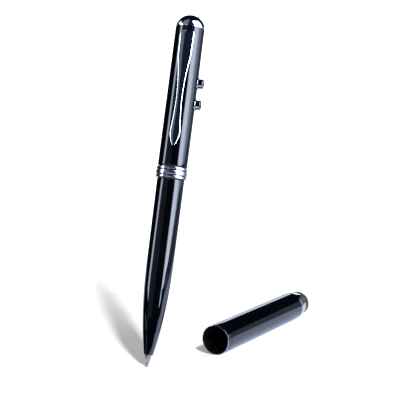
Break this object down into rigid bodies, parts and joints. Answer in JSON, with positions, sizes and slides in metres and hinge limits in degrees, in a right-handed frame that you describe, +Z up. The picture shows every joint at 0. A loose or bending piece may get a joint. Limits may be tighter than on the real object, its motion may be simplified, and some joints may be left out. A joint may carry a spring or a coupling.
{
  "type": "stylus pen",
  "caption": "Ballpoint pen with laser pointer and lamp in its top end, two push buttons and a spring clip, on its point beside its cap with a rubber stylus tip.",
  "frame": {"origin": "the point of the writing ball, where it meets the paper that the cap lies on", "axes": "+Z up, away from the paper; +Y along the lying cap, from its mouth to its stylus tip, which is also the side that the pen leans back to; +X to the side of the pen that the cap lies on"},
  "size_m": [0.0295, 0.1044, 0.1318],
  "materials": {
    "black_lacquer": "high gloss lacquer on brass",
    "chrome": "polished",
    "brass": "turned",
    "steel": "fine turned",
    "black_plastic": "moulded",
    "white_plastic": "moulded",
    "rubber": "conductive silicone, satin",
    "clear_plastic": "clear",
    "board": "solder mask",
    "ink": "paste"
  },
  "bodies": {
    "lower_section": {"lower_barrel": "black_lacquer", "lower_thread_bush": "brass"},
    "lower_seal": {"lower_washer": "black_plastic"},
    "centre_section": {"coupler": "brass", "centre_band": "chrome", "battery_spring": "steel", "refill_tip": "steel", "refill_tube": "brass", "ink": "ink", "refill_holder": "white_plastic"},
    "ball": {"writing_ball": "steel"},
    "upper_seal": {"upper_washer": "black_plastic"},
    "upper_section": {"upper_barrel": "black_lacquer", "upper_thread_bush": "brass", "end_dome": "chrome", "battery_sleeve": "white_plastic", "contact_plate": "brass", "board_cradle": "black_plastic", "circuit_board": "board", "lamp_resistor": "black_plastic", "laser_resistor": "black_plastic", "laser_driver_chip": "black_plastic", "lamp_holder": "black_plastic", "laser_housing": "brass", "laser_diode": "steel", "laser_lens": "clear_plastic", "lamp": "clear_plastic", "lamp_lead_plus": "steel", "lamp_lead_minus": "steel", "laser_lead_plus": "steel", "laser_lead_minus": "steel", "cell_1": "steel", "cell_2": "steel", "cell_3": "steel", "laser_switch": "black_plastic", "light_switch": "black_plastic", "laser_collar": "chrome", "light_collar": "chrome"},
    "clip": {"clip": "chrome"},
    "laser_press": {"laser_button": "black_lacquer", "laser_plunger": "white_plastic"},
    "light_press": {"light_button": "black_lacquer", "light_plunger": "white_plastic"},
    "cap": {"cap_tube": "black_lacquer", "cap_liner": "black_plastic", "cap_ferrule": "chrome", "stylus_tip": "rubber", "tip_retainer": "brass"}
  },
  "joints": [
    {"name": "lower_thread_rise", "type": "slide", "parent": "lower_section", "child": "lower_seal", "axis": [-0.0255, 0.2913, 0.9563], "range_m": [0, 0.00525]},
    {"name": "lower_thread_turn", "type": "hinge", "parent": "lower_seal", "child": "centre_section", "pos_m": [-0.00176, 0.02011, 0.06638], "axis": [-0.0255, 0.2913, 0.9563], "range_deg": [0, 2520]},
    {"name": "upper_thread_rise", "type": "slide", "parent": "centre_section", "child": "upper_seal", "axis": [-0.0255, 0.2913, 0.9563], "range_m": [0, 0.00525]},
    {"name": "upper_thread_turn", "type": "hinge", "parent": "upper_seal", "child": "upper_section", "pos_m": [-0.00202, 0.02305, 0.07604], "axis": [-0.0255, 0.2913, 0.9563], "range_deg": [0, 2520]},
    {"name": "ball_roll", "type": "hinge", "parent": "centre_section", "child": "ball", "pos_m": [0, 0, 0.00035], "axis": [0.9962, 0.0872, 0], "continuous": true},
    {"name": "clip_bend", "type": "hinge", "parent": "upper_section", "child": "clip", "pos_m": [-0.00102, 0.03305, 0.12583], "axis": [-0.9076, -0.4077, 0.1], "range_deg": [0, 4], "stiffness_Nm_per_rad": 1.5, "springref_deg": -1.72},
    {"name": "laser_button_press", "type": "slide", "parent": "upper_section", "child": "laser_press", "axis": [-0.9464, -0.315, 0.0707], "range_m": [0, 0.0005], "stiffness_N_per_m": 2000, "springref_m": -0.0002},
    {"name": "light_button_press", "type": "slide", "parent": "upper_section", "child": "light_press", "axis": [-0.9464, -0.315, 0.0707], "range_m": [0, 0.0005], "stiffness_N_per_m": 2000, "springref_m": -0.0002},
    {"name": "cap_draw", "type": "slide", "parent": "lower_section", "child": "cap", "axis": [0, 1, 0], "range_m": [0, 0.072]}
  ],
  "couplings": [
    {"joint": "lower_thread_turn", "follows": "lower_thread_rise", "rad_per_m": 8377.6},
    {"joint": "upper_thread_turn", "follows": "upper_thread_rise", "rad_per_m": 8377.6}
  ]
}
